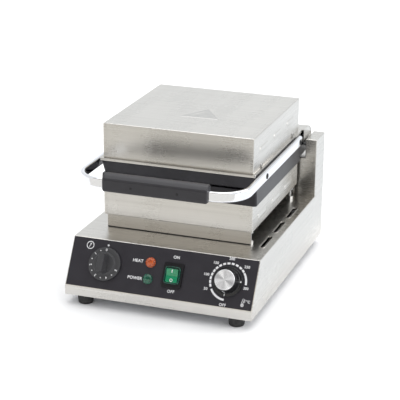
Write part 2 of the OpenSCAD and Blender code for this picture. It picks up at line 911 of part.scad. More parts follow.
module handle_bar() {
    half = handle_w / 2;
    clip = 9;
    color("gainsboro") difference() {
        translate([0, 0, handle_z]) linear_extrude(bar_h) difference() {
            u_plan(half, bend_r, handle_front_y, handle_back_y);
            u_plan(half - bar_t, bend_r - bar_t, handle_front_y + bar_t, handle_back_y + 1);
        }
        translate([0, handle_back_y, handle_z]) along_x(2 * half + 2)
            polygon([[-clip, 0], [1, clip], [1, -1], [-clip, -1]]);
        both_sides() for (y = handle_screw_y) translate([0, y, handle_screw_z]) {
            rod_x(2.6, half - bar_t - 1, half + 1);
            translate([half - 2.4, 0, 0]) rotate([0, 90, 0]) cylinder(r1 = 2.6, r2 = 5, h = 2.4);
        }
    }
}

module handle_grip() {
    deep = 19.5;
    tall = 25.4;
    middle = [handle_front_y + 3.75, handle_z + 10.2];
    color("black") difference() {
        along_x(grip_len) translate(middle) rounded_rect(deep, tall, 6);
        span([-grip_len, handle_front_y, handle_z], [grip_len, handle_front_y + bar_t, handle_z + bar_h]);
        for (x = [-35, 35]) translate([x, 0, handle_screw_z]) {
            rod_y(1.6, handle_front_y - 10, handle_front_y + 1);
            rod_y(3.2, handle_front_y - 10, handle_front_y - 3);
        }
    }
}

module handle_screws() {
    half = handle_w / 2;
    color("lightgray") both_sides() for (y = handle_screw_y) translate([0, y, handle_screw_z]) {
        rod_x(2.5, plate_w / 2 - 10, half - 2.3);
        translate([half - 2.3, 0, 0]) rotate([0, 90, 0]) cylinder(r1 = 2.5, r2 = 4.8, h = 2.3);
    }
}

module grip_screws() {
    color("gray") for (x = [-35, 35]) translate([x, 0, handle_screw_z]) {
        rod_y(1.6, handle_front_y - 3, handle_front_y);
        rod_y(3, handle_front_y - 4.6, handle_front_y - 3);
    }
}

module timer_knob() {
    skirt_z = panel_t + 0.8;
    bar = [11, 32];
    color("dimgray") on_panel(timer_x, knob_s) difference() {
        union() {
            translate([0, 0, skirt_z]) rotate_extrude() polygon([
                [0, 0], [timer_knob_r, 0], [timer_knob_r, 2.6], [timer_knob_r - 0.8, 3.4],
                [17, 3.4], [15.5, 6], [0, 6]
            ]);
            translate([0, 0, skirt_z + 5]) linear_extrude(16) rounded_rect(bar.x, bar.y, 4);
        }
        translate([0, 0, skirt_z - 1]) cylinder(r = spindle_r, h = 12);
    }
}

module timer_spindle() {
    color("lightgray") on_panel(timer_x, knob_s) translate([0, 0, -sheet_t - 18])
        cylinder(r = spindle_r, h = 30);
}

module thermostat_knob() {
    skirt_z = panel_t + 0.8;
    color("black") on_panel(thermostat_x, knob_s) difference() {
        translate([0, 0, skirt_z]) rotate_extrude() polygon([
            [0, 0], [thermostat_knob_r, 0], [thermostat_knob_r, 1.6], [thermostat_knob_r - 0.8, 2.4],
            [18.5, 2.8], [17.5, 4.5], [16, 17.4], [0, 17.4]
        ]);
        translate([0, 0, skirt_z - 1]) cylinder(r = spindle_r, h = 13);
    }
}

module thermostat_cap() {
    color("lightgray") on_panel(thermostat_x, knob_s) translate([0, 0, panel_t + 18.2])
        rotate_extrude() polygon([[0, 0], [15, 0], [15, 1.2], [14.2, 2], [0, 1.6]]);
}

module thermostat_spindle() {
    color("lightgray") on_panel(thermostat_x, knob_s) translate([0, 0, -sheet_t - 18])
        cylinder(r = spindle_r, h = 31);
}

base_housing();
bottom_plate();
bottom_screws();
rubber_feet();
foot_screws();
control_panel();
rear_column();
column_back_cover();
column_screws();
hinge_brackets();
bracket_bolts();
hinge_shaft();
shaft_rings();
front_riser();
rear_riser();
support_studs();
support_nuts();
lower_housing();
lower_plate();
lower_hinge_arms();
lower_element();
lower_clamp_plate();
lower_clamp_screws();
lower_insulation();
wire_sleeve();
thermostat_body();
thermostat_bulb();
thermostat_capillary();
timer_body();
switch_body();
switch_frame();
lamp_holders();
heat_lamp_lens();
power_lamp_lens();
terminal_block();
terminal_screws();
earth_stud();
cable_gland();
gland_nut();
lid_cover();
lid_flange();
lid_screws();
upper_plate();
upper_hinge_arms();
upper_element();
upper_clamp_plate();
upper_clamp_screws();
upper_insulation();
hinge_hood();
hinge_bushes();
handle_bar();
handle_grip();
handle_screws();
grip_screws();
timer_knob();
timer_spindle();
thermostat_knob();
thermostat_cap();
thermostat_spindle();
switch_rocker();
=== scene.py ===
"""A counter-top waffle maker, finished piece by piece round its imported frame."""

import json
import math

import bmesh
import bpy
from mathutils import Matrix, Vector


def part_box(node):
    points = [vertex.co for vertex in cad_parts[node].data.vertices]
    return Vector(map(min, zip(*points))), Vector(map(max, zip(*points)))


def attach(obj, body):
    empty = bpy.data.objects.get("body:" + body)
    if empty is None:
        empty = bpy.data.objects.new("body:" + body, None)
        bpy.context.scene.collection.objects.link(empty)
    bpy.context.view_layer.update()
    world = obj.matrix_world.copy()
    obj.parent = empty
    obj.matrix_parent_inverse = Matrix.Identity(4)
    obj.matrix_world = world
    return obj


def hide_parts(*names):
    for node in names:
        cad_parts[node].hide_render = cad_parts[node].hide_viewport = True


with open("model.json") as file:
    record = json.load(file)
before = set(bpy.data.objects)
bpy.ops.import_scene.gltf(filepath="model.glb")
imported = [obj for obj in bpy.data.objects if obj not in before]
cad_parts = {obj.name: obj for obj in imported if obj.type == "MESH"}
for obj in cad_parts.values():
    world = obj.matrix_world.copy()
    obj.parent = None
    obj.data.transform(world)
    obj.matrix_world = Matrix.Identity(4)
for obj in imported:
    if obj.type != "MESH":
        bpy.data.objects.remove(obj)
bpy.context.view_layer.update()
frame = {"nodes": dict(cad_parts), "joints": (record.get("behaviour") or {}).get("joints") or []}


# ---- Base housing ---------------------------------------------------------------------
# One sheet of stainless steel, brushed along its width and folded into a box with a sloped
# front. The folds have a small radius, and the deck's vent slots have a rolled rim.

MM = 0.001
IN_MM = Matrix.Scale(MM, 4)


class Wire:
    """A socket in a material. Sums on it add Math nodes, and node() adds any other node."""

    def __init__(self, tree, socket=None):
        self.tree, self.socket = tree, socket

    def node(self, kind, sockets=None, output=0, **settings):
        """Adds a node, its settings first, then a value or a link for each socket."""
        new = self.tree.nodes.new("ShaderNode" + kind)
        for key, value in settings.items():
            setattr(new, key, value)
        for key, value in (sockets or {}).items():
            if isinstance(value, Wire):
                self.tree.links.new(value.socket, new.inputs[key])
            else:
                new.inputs[key].default_value = value
        return Wire(self.tree, new.outputs[output])

    def maths(self, operation, first, second=0.0):
        return self.node("Math", {0: first, 1: second}, operation=operation)

    def __add__(self, other):
        return self.maths("ADD", self, other)

    def __sub__(self, other):
        return self.maths("SUBTRACT", self, other)

    def __rsub__(self, other):
        return self.maths("SUBTRACT", other, self)

    def __mul__(self, other):
        return self.maths("MULTIPLY", self, other)

    __radd__ = __add__
    __rmul__ = __mul__

    def above(self, limit, soft):
        """0 below a limit and 1 above it, with a soft step between."""
        sockets = {0: self, 1: limit - soft, 2: limit + soft}
        return self.node("MapRange", sockets, interpolation_type="SMOOTHSTEP")

    def between(self, low, high):
        """A colour that goes from low to high as this value goes from 0 to 1."""
        ends = {6: low, 7: high}
        ends = {key: end if isinstance(end, Wire) else (*end, 1) for key, end in ends.items()}
        return self.node("Mix", {0: self, **ends}, output=2, data_type="RGBA")

    def noise(self, waves, detail=2.0):
        """Noise on a place, with this many waves to the metre, or these along X, Y and Z."""
        stretch = waves if isinstance(waves, tuple) else (waves,) * 3
        place = self.node("Mapping", {0: self, 3: stretch})
        return self.node("TexNoise", {"Vector": place, "Scale": 1.0, "Detail": detail})

    def bumps(self, height):
        """A surface normal that rises and falls with this value, by up to a height in metres."""
        return self.node("Bump", {"Height": self, "Distance": height, "Strength": 1.0})


def start_finish(name):
    """A new material and the place of each point on its piece, in metres."""
    material = bpy.data.materials.new(name)
    material.use_nodes = True
    material.node_tree.nodes.clear()
    place = Wire(material.node_tree).node("TexCoord", output=3)
    return material, place


def close_finish(material, place, sockets, kind="BsdfPrincipled"):
    """Ends a material in its surface."""
    surface = place.node(kind, sockets)
    end = material.node_tree.nodes.new("ShaderNodeOutputMaterial")
    material.node_tree.links.new(surface.socket, end.inputs[0])
    return material


def brushed_sheet(name, dark, light, smooth, rough):
    """Brushed steel: the grain runs along X on a front or a top, and along Y on a side."""
    material, place = start_finish(name)
    facing = place.node("TexCoord", output=1)
    on_side = place.node("SeparateXYZ", {0: facing}, output=0)
    on_side = on_side.maths("ABSOLUTE", on_side).above(0.6, 0.1)
    fine = place.noise((9, 1500, 1500), 3.0)
    fine_side = place.noise((1500, 9, 1500), 3.0)
    grain = fine_side * on_side + fine * (1 - on_side)
    coarse = place.noise((3, 210, 210)) * (1 - on_side) + place.noise((210, 3, 210)) * on_side
    smears = place.noise((22, 13, 16), 3.0)
    bands = place.noise((34, 5, 3), 1.0)
    tone = (grain * 0.5 + coarse * 0.4 + smears * 0.15 + bands * 0.25).above(0.66, 0.42)
    gloss = grain * 0.35 + smears * 0.5 + bands * 0.3
    spread = (gloss - 0.3) * (rough - smooth) + smooth
    relief = grain * 0.12 + coarse * 0.08 + bands * 0.5
    return close_finish(material, place, {
        "Base Color": tone.between(dark, light),
        "Metallic": 1.0,
        "Roughness": spread,
        "Normal": relief.bumps(0.00016),
    })


def from_cad(node):
    """A clean copy of a CAD node in millimetres: doubles merged, and flat faces joined."""
    shape = bmesh.new()
    shape.from_mesh(frame["nodes"][node].data)
    bmesh.ops.scale(shape, vec=(1 / MM,) * 3, verts=shape.verts)
    bmesh.ops.remove_doubles(shape, verts=shape.verts, dist=0.003)
    bmesh.ops.dissolve_limit(
        shape, angle_limit=math.radians(0.4), verts=shape.verts, edges=shape.edges)
    return shape


def box_mm(node):
    """A CAD node's lowest and highest corners, in millimetres."""
    low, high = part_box(node)
    return low / MM, high / MM


def is_wide(face, edge, width):
    """Whether a face reaches at least a width in from the middle of its edge."""
    loop = next(loop for loop in edge.link_loops if loop.face == face)
    along = (loop.link_loop_next.vert.co - loop.vert.co).normalized()
    middle = (edge.verts[0].co + edge.verts[1].co) / 2
    inward = face.normal.cross(along)
    return all(bmesh.geometry.intersect_face_point(face, middle + inward * width * part)
               for part in (0.3, 0.6, 1.0))


def round_folds(shape, radius, shortest=12.0, narrowest=3.0, steps=3):
    """Rounds the outside corners that are long enough and lie between two wide faces."""
    folds = []
    for edge in shape.edges:
        if len(edge.link_faces) != 2 or edge.calc_length() < shortest:
            continue
        if edge.calc_face_angle_signed(0) < math.radians(20):
            continue
        if all(is_wide(face, edge, narrowest) for face in edge.link_faces):
            folds.append(edge)
    bmesh.ops.bevel(shape, geom=folds, offset=radius, offset_type="OFFSET", segments=steps,
                    profile=0.5, affect="EDGES", clamp_overlap=False)
    return shape


def stand(name, data):
    """A new object in the scene."""
    thing = bpy.data.objects.new(name, data)
    bpy.context.scene.collection.objects.link(thing)
    return thing


def settle(name, shape, finish, body, slot, replaced=(), place=IN_MM, new=True, sharp=40):
    """Turns a shape into a shaded piece in its place, and sets it on its body. A new shape
    has its normals recalculated, and one from the CAD keeps its own."""
    if new:
        bmesh.ops.recalc_face_normals(shape, faces=shape.faces)
    mesh = bpy.data.meshes.new(name)
    shape.to_mesh(mesh)
    shape.free()
    mesh.transform(place)
    mesh.materials.clear()
    mesh.materials.append(finish)
    mesh.shade_smooth()
    mesh.set_sharp_from_angle(angle=math.radians(sharp))
    piece = stand(name, mesh)
    weights = piece.modifiers.new("flat_faces_stay_flat", "WEIGHTED_NORMAL")
    weights.keep_sharp = True
    piece.data = as_mesh(piece)
    piece.modifiers.clear()
    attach(piece, body)
    if replaced:
        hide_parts(*replaced)


def as_mesh(source):
    """The plain mesh of an object with its modifiers applied."""
    bpy.context.view_layer.update()
    graph = bpy.context.evaluated_depsgraph_get()
    return bpy.data.meshes.new_from_object(source.evaluated_get(graph), depsgraph=graph)


def rebuilt(name, node, finish, body, slot, radius, **limits):
    """Makes a CAD node again with its outside corners rounded."""
    settle(name, round_folds(from_cad(node), radius, **limits), finish, body, slot, [node],
           new=False)


stainless = brushed_sheet("brushed_stainless", (0.52, 0.506, 0.480), (0.665, 0.650, 0.620), 0.24,
                          0.38)
base_steel, lid_steel = [(stainless, body, "brushed_stainless") for body in ("base", "lid")]
fold_r = 1.3
rebuilt("base_shell", "base_housing", *base_steel, fold_r, shortest=20)


def soften(outline, radius, steps=4, closed=True):
    """Rounds each corner of a flat outline with a short curve."""
    points = [Vector(p) for p in outline]
    last = len(points) - 1
    result = []
    for i, corner in enumerate(points):
        if not closed and i in (0, last):
            result.append(corner)
            continue
        before, after = points[i - 1] - corner, points[(i + 1) % len(points)] - corner
        reach = min(radius, before.length / 2, after.length / 2)
        start, end = corner + before.normalized() * reach, corner + after.normalized() * reach
        for step in range(steps + 1):
            t = step / steps
            result.append(start * (1 - t) ** 2 + corner * 2 * t * (1 - t) + end * t ** 2)
    return result


def on_circle(r, degrees):
    """The point of a circle round the origin at an angle from X."""
    angle = math.radians(degrees)
    return r * math.cos(angle), r * math.sin(angle)


def stadium(length, width, steps=10):
    """A slot's outline, long along X, with round ends."""
    reach = (length - width) / 2
    turned = [on_circle(width / 2, 180 * (i / steps - 0.5)) for i in range(steps + 1)]
    right = [(reach + x, y) for x, y in turned]
    return right + [(-x, -y) for x, y in right]


def geometry_tree(name, inputs):
    """An empty Geometry Nodes tree with its named inputs, and its input and output nodes."""
    tree = bpy.data.node_groups.new(name, "GeometryNodeTree")
    for label, kind in inputs:
        tree.interface.new_socket(label, in_out="INPUT", socket_type="NodeSocket" + kind)
    tree.interface.new_socket("Pieces", in_out="OUTPUT", socket_type="NodeSocketGeometry")
    return tree, tree.nodes.new("NodeGroupInput"), tree.nodes.new("NodeGroupOutput")


def finish_tree(tree, made, entry, end):
    """Ends a tree in Realize Instances and Set Material."""
    real = tree.nodes.new("GeometryNodeRealizeInstances")
    painted = tree.nodes.new("GeometryNodeSetMaterial")
    tree.links.new(made, real.inputs[0])
    tree.links.new(real.outputs[0], painted.inputs["Geometry"])
    tree.links.new(entry.outputs["Finish"], painted.inputs["Material"])
    tree.links.new(painted.outputs[0], end.inputs[0])
    return tree


def grow(tree, base, values):
    """Runs a tree on a base mesh and gives the result as a shape."""
    carrier = stand("carrier", base)
    modifier = carrier.modifiers.new(tree.name, "NODES")
    modifier.node_group = tree
    for item in tree.interface.items_tree:
        if item.name in values:
            modifier[item.identifier] = values[item.name]
    mesh = as_mesh(carrier)
    shape = bmesh.new()
    shape.from_mesh(mesh)
    carrier.modifiers.clear()
    bpy.data.objects.remove(carrier)
    bpy.data.meshes.remove(mesh)
    return shape


def sweep_tree():
    """A profile drawn along a path, with both of its ends closed."""
    kinds = [("Base", "Geometry"), ("Path", "Object"), ("Profile", "Object"),
             ("Finish", "Material")]
    tree, entry, end = geometry_tree("profile_along_a_path", kinds)
    drawn = tree.nodes.new("GeometryNodeCurveToMesh")
    drawn.inputs["Fill Caps"].default_value = True
    for label, socket in (("Path", "Curve"), ("Profile", "Profile Curve")):
        curve = tree.nodes.new("GeometryNodeObjectInfo")
        tree.links.new(entry.outputs[label], curve.inputs["Object"])
        tree.links.new(curve.outputs["Geometry"], drawn.inputs[socket])
    return finish_tree(tree, drawn.outputs[0], entry, end)


def drawn_line(points, closed):
    """A curve object through points."""
    curve = bpy.data.curves.new("line", "CURVE")
    curve.dimensions = "3D"
    curve.twist_mode = "Z_UP"
    spline = curve.splines.new("POLY")
    spline.points.add(len(points) - 1)
    for knot, point in zip(spline.points, points):
        knot.co = (*Vector(point).to_3d(), 1)
    spline.use_cyclic_u = closed
    return stand("line", curve)


def sweep(path, profile, finish, closed=True):
    """The shape of a closed profile swept along a path."""
    lines = [drawn_line(path, closed), drawn_line(profile, True)]
    values = {"Path": lines[0], "Profile": lines[1], "Finish": finish}
    shape = grow(along_path, bpy.data.meshes.new("base"), values)
    for line in lines:
        bpy.data.objects.remove(line)
    bmesh.ops.remove_doubles(shape, verts=shape.verts, dist=0.001)
    return shape


def loft(rings):
    """Skins rings that have the same number of points, and closes both ends."""
    shape = bmesh.new()
    rows = [[shape.verts.new(point) for point in ring] for ring in rings]
    for low, high in zip(rows, rows[1:]):
        for i in range(len(low)):
            j = (i + 1) % len(low)
            shape.faces.new((low[i], low[j], high[j], high[i]))
    shape.faces.new(rows[0][::-1])
    shape.faces.new(rows[-1])
    return shape


def joined(shapes):
    """One shape from several."""
    whole = bmesh.new()
    for shape in shapes:
        mesh = bpy.data.meshes.new("part")
        shape.to_mesh(mesh)
        whole.from_mesh(mesh)
        shape.free()
    return whole


def bead(half_w, half_h):
    """The oval section of a rolled rim, or of the black strip that is painted shadow at a riser's
    foot.
    """
    return [(half_w * x, half_h * y) for x, y in (on_circle(1, 45 * i) for i in range(8))]


along_path = sweep_tree()
deck_z = box_mm("rear_column")[0].z
vent_x, vent_places, vent_length, vent_width = 131, (-79.5, -13, 55), 49, 8
flap_side = [(vent_x + 3.9, deck_z - 1.0), (vent_x - 2.0, deck_z - 4.2),
             (vent_x - 2.3, deck_z - 3.8), (vent_x + 3.6, deck_z - 0.5)]
vents = []
for vent_y in vent_places:
    rim = [(vent_x + v, vent_y + u, deck_z + 0.2) for u, v in stadium(vent_length, vent_width)]
    vents.append(sweep(rim, bead(0.55, 0.45), stainless))
    vents.append(loft([[(x, vent_y + y, z) for x, z in flap_side] for y in (-22, 22)]))
settle("vent_rims", joined(vents), *base_steel)


# ---- Bottom plate and its screws ------------------------------------------------------
# A galvanised sheet with cooling slots that closes the base from below. Six pan-head
# screws with cross recesses hold it.

def galvanised(name):
    """Zinc-coated sheet: flat crystals of slightly different grey."""
    material, place = start_finish(name)
    crystals = place.node("TexVoronoi", {"Vector": place, "Scale": 210.0}, output=1)
    tone = place.node("SeparateColor", {0: crystals}, output=0)
    dull = place.noise(60, 3.0)
    return close_finish(material, place, {
        "Base Color": (tone * 0.6 + dull * 0.4).between((0.42, 0.43, 0.45), (0.66, 0.67, 0.69)),
        "Metallic": 1.0,
        "Roughness": tone * 0.16 + dull * 0.2 + 0.22,
        "Normal": dull.bumps(0.00008),
    })


def plated(name, dark, light, rough):
    """Small turned or stamped metal pieces with a thin bright plating."""
    material, place = start_finish(name)
    marks = place.noise(900)
    stains = place.noise(120, 3.0)
    return close_finish(material, place, {
        "Base Color": (marks * 0.4 + stains * 0.6).between(dark, light),
        "Metallic": 1.0,
        "Roughness": stains * 0.2 + (rough - 0.1),
        "Normal": marks.bumps(0.00002),
    })


def show(finish, *nodes):
    """Gives CAD nodes a finish. Their shape is already right."""
    for node in nodes:
        mesh = frame["nodes"][node].data
        if not mesh.materials:
            mesh.materials.append(finish)
        for slot in frame["nodes"][node].material_slots:
            slot.material = finish


def lathe(profile, steps=64):
    """Turns an outline of (radius, height) points round the Z axis."""
    shape = bmesh.new()
    row = [shape.verts.new((r, 0, z)) for r, z in profile]
    line = [shape.edges.new(pair) for pair in zip(row, row[1:])]
    bmesh.ops.spin(shape, geom=row + line, axis=(0, 0, 1), cent=(0, 0, 0), steps=steps,
                   angle=math.tau)
    bmesh.ops.remove_doubles(shape, verts=shape.verts, dist=0.001)
    return shape


def repeat_tree():
    """A pattern placed on every point, turned by the point's own angles."""
    kinds = [("Points", "Geometry"), ("Pattern", "Object"), ("Finish", "Material")]
    tree, entry, end = geometry_tree("pattern_on_points", kinds)
    turn = tree.nodes.new("GeometryNodeInputNamedAttribute")
    turn.data_type = "FLOAT_VECTOR"
    turn.inputs["Name"].default_value = "turn"
    angles = tree.nodes.new("FunctionNodeEulerToRotation")
    pattern = tree.nodes.new("GeometryNodeObjectInfo")
    placed = tree.nodes.new("GeometryNodeInstanceOnPoints")
    for start, output, end_node, entry_socket in (
            (turn, "Attribute", angles, "Euler"), (angles, "Rotation", placed, "Rotation"),
            (entry, "Points", placed, "Points"), (entry, "Pattern", pattern, "Object"),
            (pattern, "Geometry", placed, "Instance")):
        tree.links.new(start.outputs[output], end_node.inputs[entry_socket])
    return finish_tree(tree, placed.outputs[0], entry, end)


def repeat(pattern, places, finish):
    """The shape of a pattern at each (point, turn in degrees) of places."""
    spots = bpy.data.meshes.new("spots")
    spots.from_pydata([point for point, turn in places], [], [])
    turns = spots.attributes.new("turn", "FLOAT_VECTOR", "POINT")
    for entry, (point, turn) in zip(turns.data, places):
        entry.vector = [math.radians(angle) for angle in turn]
    mesh = bpy.data.meshes.new("pattern")
    bmesh.ops.recalc_face_normals(pattern, faces=pattern.faces)
    pattern.to_mesh(mesh)
    model = stand("pattern", mesh)
    shape = grow(on_points, spots, {"Pattern": model, "Finish": finish})
    bpy.data.objects.remove(model)
    return shape


def cross_head(r, h):
    """A domed screw head with a cross recess, standing on Z = 0."""
    arm, half, deep = 0.62 * r, 0.16 * r, 0.35 * h
    corners = []
    for turn in (0, 90, 180, 270):
        spin = Matrix.Rotation(math.radians(turn), 2)
        corners += [spin @ Vector(p) for p in ((arm, -half), (arm, half), (half, half))]
    cross, rim = [], []
    for start, end in zip(corners, corners[1:] + corners[:1]):
        for part in (0, 1 / 3, 2 / 3):
            cross.append(start.lerp(end, part))
            angle = math.atan2(start.y, start.x) + end.angle_signed(start) * part
            rim.append(Vector(on_circle(r, math.degrees(angle))))
    levels = [(rim, 1, 0), (rim, 1, 0.45 * h), (rim, 0.93, 0.72 * h), (rim, 0.8, 0.9 * h),
              (cross, 1, h), (cross, 1, h - deep)]
    return loft([[(p.x * k, p.y * k, z) for p in ring] for ring, k, z in levels])


def screw_heads(node, head, places, finish, body):
    """Puts fully shaped heads in place of a CAD node's plain screws."""
    settle(node[:-1] + "_heads", repeat(head, places, finish), finish, body, "zinc_fasteners",
           [node])


on_points = repeat_tree()
zinc_sheet = galvanised("galvanised_sheet")
zinc = plated("zinc_fasteners", (0.30, 0.30, 0.295), (0.50, 0.50, 0.49), 0.36)
show(zinc_sheet, "bottom_plate")
under = box_mm("base_housing")[0].z
plate_screws = [((x, y, under), (180, 0, 0)) for x in (-135, 135) for y in (-165, 0, 175)]
screw_heads("bottom_screws", cross_head(3.8, 2.2), plate_screws, zinc, "base")


# ---- Feet -----------------------------------------------------------------------------
# Four moulded rubber feet with a chamfered tread, each held by a screw and a nut.

def moulded_rubber(name):
    """Black rubber: matt, with a fine mould texture and pale dust."""
    material, place = start_finish(name)
    dust = place.noise(140, 4.0)
    pores = place.noise(1400)
    return close_finish(material, place, {
        "Base Color": dust.above(0.56, 0.2).between((0.012, 0.012, 0.013), (0.035, 0.034, 0.034)),
        "Roughness": pores * 0.3 + 0.55,
        "Normal": pores.bumps(0.00006),
    })


rubber = moulded_rubber("black_rubber")
foot_outline = soften([(5.5, 0), (10.5, 0), (11.4, 1.4), (12.5, under), (2.5, under)], 0.8,
                      closed=False)
foot_outline += [(2.5, 8), (5.5, 8), (5.5, 0)]
feet = [((x, y, 0), (0, 0, 0)) for x in (-118, 118) for y in (-175, 165)]
settle("feet", repeat(lathe(foot_outline), feet, rubber), rubber, "base", "black_rubber",
       ["rubber_feet"])
show(zinc, "foot_screws")


# ---- Control panel --------------------------------------------------------------------
# A satin anthracite film on the sloped front, with its legends screen-printed in white.
# Places on it are in millimetres: X across, Y up the slope from the knobs' centre line,
# Z out of the sheet.

def moulded_plastic(name, dark, light, rough, grain=900.0, shine=0.5):
    """Moulded plastic or film: an even colour, a fine mould grain and faint handling marks."""
    material, place = start_finish(name)
    pores = place.noise(grain)
    marks = place.noise(75, 3.0)
    return close_finish(material, place, {
        "Base Color": (marks * 0.7 + pores * 0.3).between(dark, light),
        "Roughness": marks * 0.22 + (rough - 0.11),
        "Specular IOR Level": shine,
        "Normal": pores.bumps(0.00004),
    })


def lettering(words, height, x, y, turn=0.0, squeeze=1.0):
    """Printed letters, standing just proud of the film."""
    text = bpy.data.curves.new(words, "FONT")
    text.body = words
    text.size = height * 1.42
    text.align_x, text.align_y = "CENTER", "CENTER"
    text.extrude = ink_t / 2
    text.offset = 0.03 * height
    text.space_character = 1.08
    word = stand(words, text)
    shape = bmesh.new()
    shape.from_mesh(as_mesh(word))
    bpy.data.objects.remove(word)
    spin = Matrix.Rotation(math.radians(turn), 4, "Z")
    shape.transform(Matrix.Translation((x, y, ink_z)) @ spin @ Matrix.Diagonal((squeeze, 1, 1, 1)))
    return shape


def slab(outline, low, high, middle=(0, 0)):
    """A flat outline round a middle point, given its thickness between two heights."""
    return loft([[(middle[0] + x, middle[1] + y, z) for x, y in outline] for z in (low, high)])


def flat_mark(outline, middle=(0, 0)):
    """A printed shape, as thick as the ink."""
    return slab(outline, ink_z - ink_t / 2, ink_z + ink_t / 2, middle)


def arc_band(r, width, start, end, steps=24):
    """The outline of a curved band between two angles, in degrees from X towards Y."""
    turns = [start + (end - start) * i / steps for i in range(steps + 1)]
    outer = [on_circle(r + width / 2, turn) for turn in turns]
    return outer + [on_circle(r - width / 2, turn) for turn in reversed(turns)]


def turned_box(left, right, low, high, turn=0.0):
    """The outline of a rectangle, turned about the origin."""
    spin = Matrix.Rotation(math.radians(turn), 2)
    return [spin @ Vector(p) for p in ((left, low), (right, low), (right, high), (left, high))]


def joint(name):
    """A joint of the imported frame."""
    return next(j for j in frame["joints"] if j["name"] == name)


outward = -Vector(joint("timer_turn")["axis"]).normalized()
up_slope = outward.cross(Vector((1, 0, 0)))
timer_centre = Vector(joint("timer_turn")["pos_m"])
film = moulded_plastic("panel_overlay", (0.020, 0.018, 0.024), (0.028, 0.026, 0.033), 0.42, 1300.0,
                       shine=0.35)
white_ink = moulded_plastic("white_print", (0.74, 0.74, 0.75), (0.86, 0.86, 0.87), 0.5)
show(film, "control_panel")

slope = Matrix((Vector((1, 0, 0)), up_slope, outward)).transposed().to_4x4()
on_slope = Matrix.Translation((0, timer_centre.y, timer_centre.z)) @ slope @ IN_MM

film_t, ink_t = 0.8, 0.06
ink_z = film_t + 0.02
timer_x = timer_centre.x / MM
thermo_x = joint("thermostat_turn")["pos_m"][0] / MM
switch_x = joint("rocker_tip")["pos_m"][0] / MM
lamp_x = sum(corner.x for corner in box_mm("heat_lamp_lens")) / 2
heat_y, power_y, switch_y = 12.0, -12.5, -2.5
scale_r, scale_w = 26.7, 3.0
off_turn, end_turn = 266.0, -2.5
scale_turns = [204.0, 168.6, 131.7, 90.7, 48.9]

print_marks = [lettering(*legend) for legend in (
    ("HEAT", 4.4, -38.0, heat_y + 0.3),
    ("POWER", 4.4, -38.4, power_y - 1.0),
    ("ON", 4.2, switch_x + 1, 24.6),
    ("OFF", 4.2, switch_x + 1, -26.0),
    ("OFF", 4.0, thermo_x - 2.5, -34.1),
    ("50", 3.8, thermo_x - 31.6, -14.2),
    ("100", 3.8, thermo_x - 34.0, 6.6),
    ("150", 3.8, thermo_x - 22.6, 25.0),
    ("200", 3.8, thermo_x + 0.2, 33.6),
    ("250", 3.8, thermo_x + 24.4, 24.6),
    ("300", 3.8, thermo_x + 27.8, -6.2, 0, 0.9),
    ("°C", 3.7, thermo_x + 34.4, -24.6),
)]
for low, high in ((scale_turns[0] + 6, off_turn), (end_turn, 26.0)):
    print_marks.append(flat_mark(arc_band(scale_r, scale_w, low, high), (thermo_x, 0)))

clock = (timer_x - 28.3, 25.6)
for start in (0, 180):
    print_marks.append(flat_mark(arc_band(5.4, 1.1, start, start + 176), clock))
for turn, reach in ((90, 3.6), (62, 4.1), (-118, 3.4)):
    print_marks.append(flat_mark(turned_box(0, reach, -0.38, 0.38, turn), clock))
print_marks.append(flat_mark(arc_band(0.75, 1.5, 0, 350), (timer_x, 28.4)))

gauge_x, gauge_y, gauge_turn = thermo_x + 26.4, -26.2, -14
for bulb in (arc_band(2.0, 0.7, 65, 415), arc_band(1.0, 0.6, 0, 350)):
    print_marks.append(flat_mark(bulb, (gauge_x, gauge_y - 4.2)))
strokes = [turned_box(x - 0.3, x + 0.3, -2.2, 5.4, gauge_turn) for x in (-1.1, 1.1)]
strokes += [turned_box(1.7, 3.3, y, y + 0.6, gauge_turn) for y in (0.4, 2.0, 3.6)]
print_marks += [flat_mark(stroke, (gauge_x, gauge_y)) for stroke in strokes]

dash_turns = []
for start, end in zip(scale_turns, scale_turns[1:]):
    dash_turns += [start + (end - start) * (part + 0.5) / 3 for part in range(3)]
last_step = (scale_turns[0] - scale_turns[1]) / 3
dash_turns += [scale_turns[-1] - last_step * k for k in (0.5, 1.5)]
dash_spots = []
for turn in dash_turns:
    x, y = on_circle(scale_r, turn)
    dash_spots.append(((thermo_x + x, y, ink_z), (0, 0, turn - 90)))
dash = slab(soften(turned_box(-2.25, 2.25, -1.5, 1.5), 0.5), -ink_t / 2, ink_t / 2)
legend = joined([repeat(dash, dash_spots, white_ink)] + print_marks)
settle("panel_print", legend, white_ink, "base", "panel_overlay", place=on_slope)


# ---- Indicator lamps ------------------------------------------------------------------
# Two domed lenses of tinted plastic with a moulded rim, each clipped into a pale holder.

def tinted_lens(name, deep, bright):
    """Tinted lens: glossy, with lighter flecks painted in its colour as glints of the prism ridges
    inside.
    """
    material, place = start_finish(name)
    prism_glints = place.node("TexVoronoi", {"Vector": place, "Scale": 620.0})
    return close_finish(material, place, {
        # The lighter flecks are painted glints; the tint under them is even.
        "Base Color": prism_glints.above(0.45, 0.3).between(bright, deep),
        "Roughness": 0.12,
        "IOR": 1.5,
        "Subsurface Weight": 0.15,
        "Subsurface Radius": (0.002, 0.002, 0.001),
        "Coat Weight": 0.6,
        "Coat Roughness": 0.04,
    })


